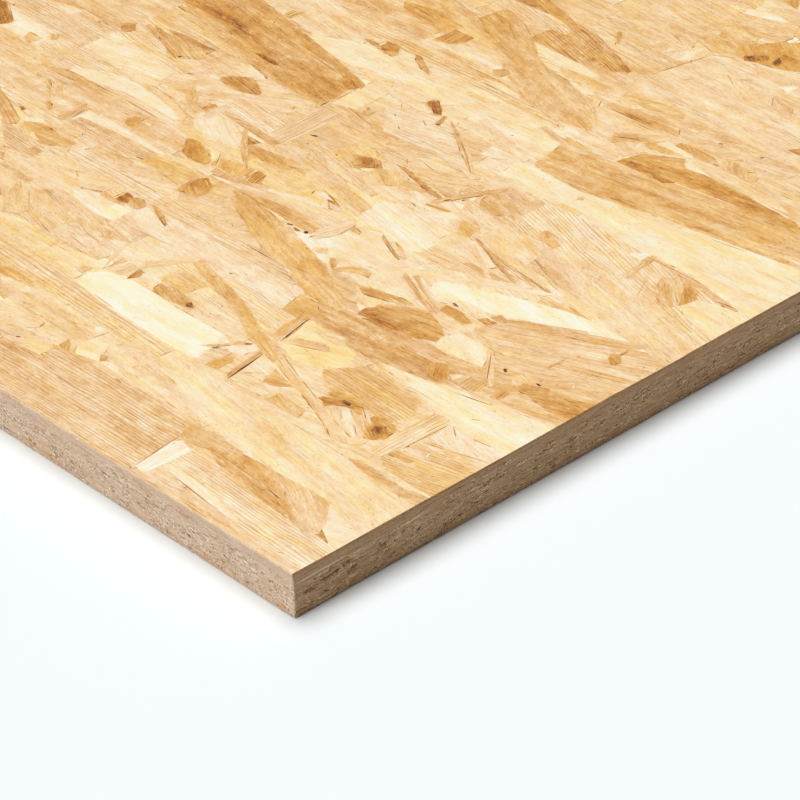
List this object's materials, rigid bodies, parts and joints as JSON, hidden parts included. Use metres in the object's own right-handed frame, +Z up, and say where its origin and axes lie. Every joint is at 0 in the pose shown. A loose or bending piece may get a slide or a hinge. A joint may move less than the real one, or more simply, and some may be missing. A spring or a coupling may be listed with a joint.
{
  "type": "osb panel",
  "caption": "Full rectangular sheet of oriented strand board, lying flat, with square-sawn edges and pressed wood strands showing on its faces.",
  "frame": {"origin": "middle of the lower face", "axes": "+X along the sheet's length, the way the face strands lie; +Y across its width; +Z up through its thickness"},
  "size_m": [2.44, 1.22, 0.018],
  "materials": {
    "strand_board": "matt pressed softwood strands in clear resin"
  },
  "bodies": {
    "root": {"osb_panel": "strand_board"}
  },
  "joints": []
}
